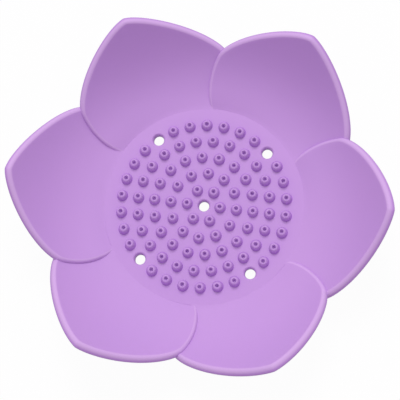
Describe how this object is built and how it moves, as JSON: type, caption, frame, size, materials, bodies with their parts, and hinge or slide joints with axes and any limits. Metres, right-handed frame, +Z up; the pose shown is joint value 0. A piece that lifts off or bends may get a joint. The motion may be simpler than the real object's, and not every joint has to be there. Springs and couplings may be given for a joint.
{
  "type": "soap dish",
  "caption": "Soft silicone soap dish in the form of an open flower, with upswept overlapping petals, a nubbed round floor and drain holes.",
  "frame": {"origin": "on the table, under the centre of the round floor", "axes": "+Z up, +X along the axis of petal_1, petals numbered anticlockwise from above"},
  "size_m": [0.1172, 0.1064, 0.0289],
  "materials": {
    "petal_silicone": "satin silicone, lilac",
    "floor_silicone": "satin silicone, lilac",
    "foot_silicone": "matte silicone, lilac"
  },
  "bodies": {
    "root": {"drain_tray": "floor_silicone", "petal_1": "petal_silicone", "petal_2": "petal_silicone", "petal_3": "petal_silicone", "petal_4": "petal_silicone", "petal_5": "petal_silicone", "petal_6": "petal_silicone", "foot_1": "foot_silicone", "foot_2": "foot_silicone", "foot_3": "foot_silicone", "foot_4": "foot_silicone", "foot_5": "foot_silicone", "foot_6": "foot_silicone"}
  },
  "joints": []
}
